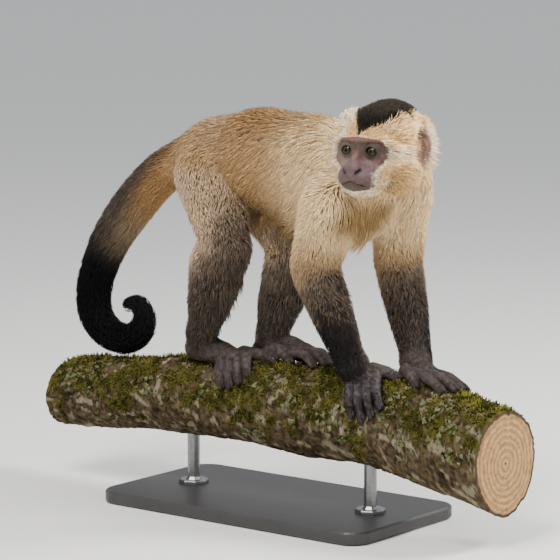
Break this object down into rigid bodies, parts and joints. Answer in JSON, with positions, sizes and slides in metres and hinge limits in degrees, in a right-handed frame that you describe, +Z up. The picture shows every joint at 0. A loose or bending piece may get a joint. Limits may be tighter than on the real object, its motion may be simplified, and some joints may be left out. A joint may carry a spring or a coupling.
{
  "type": "capuchin monkey",
  "caption": "Life-size still model of a capuchin monkey walking on all fours along a cut length of branch, head turned to its right, tail curled, on a plain stand.",
  "frame": {"origin": "centre of the stand base's underside", "axes": "+X along the branch, the way the monkey walks; +Z up; -Y is the monkey's right, where its face is turned"},
  "size_m": [0.608, 0.2029, 0.4627],
  "materials": {
    "coat_tan": "dense hair, matte",
    "coat_cream": "dense hair, matte",
    "coat_dark": "dense hair, matte",
    "coat_black": "dense hair, matte",
    "paw_skin": "bare and short-haired skin, matte",
    "ear_skin": "bare skin, matte",
    "eye": "polished",
    "bark": "rough, with moss and lichen",
    "stand_base": "satin",
    "stand_rod": "brushed"
  },
  "bodies": {
    "root": {"stand_base": "stand_base", "stand_rod_1": "stand_rod", "stand_rod_2": "stand_rod", "perch": "bark", "trunk": "coat_tan", "neck": "coat_cream", "head": "coat_cream", "ear_right": "ear_skin", "eye_right": "eye", "ear_left": "ear_skin", "eye_left": "eye", "upper_arm_right": "coat_cream", "forearm_right": "coat_dark", "hand_right": "paw_skin", "thigh_right": "coat_tan", "shank_right": "coat_dark", "foot_right": "paw_skin", "upper_arm_left": "coat_cream", "forearm_left": "coat_dark", "hand_left": "paw_skin", "thigh_left": "coat_tan", "shank_left": "coat_dark", "foot_left": "paw_skin", "tail_1": "coat_tan", "tail_2": "coat_tan", "tail_3": "coat_dark", "tail_4": "coat_black", "tail_5": "coat_black"}
  },
  "joints": []
}
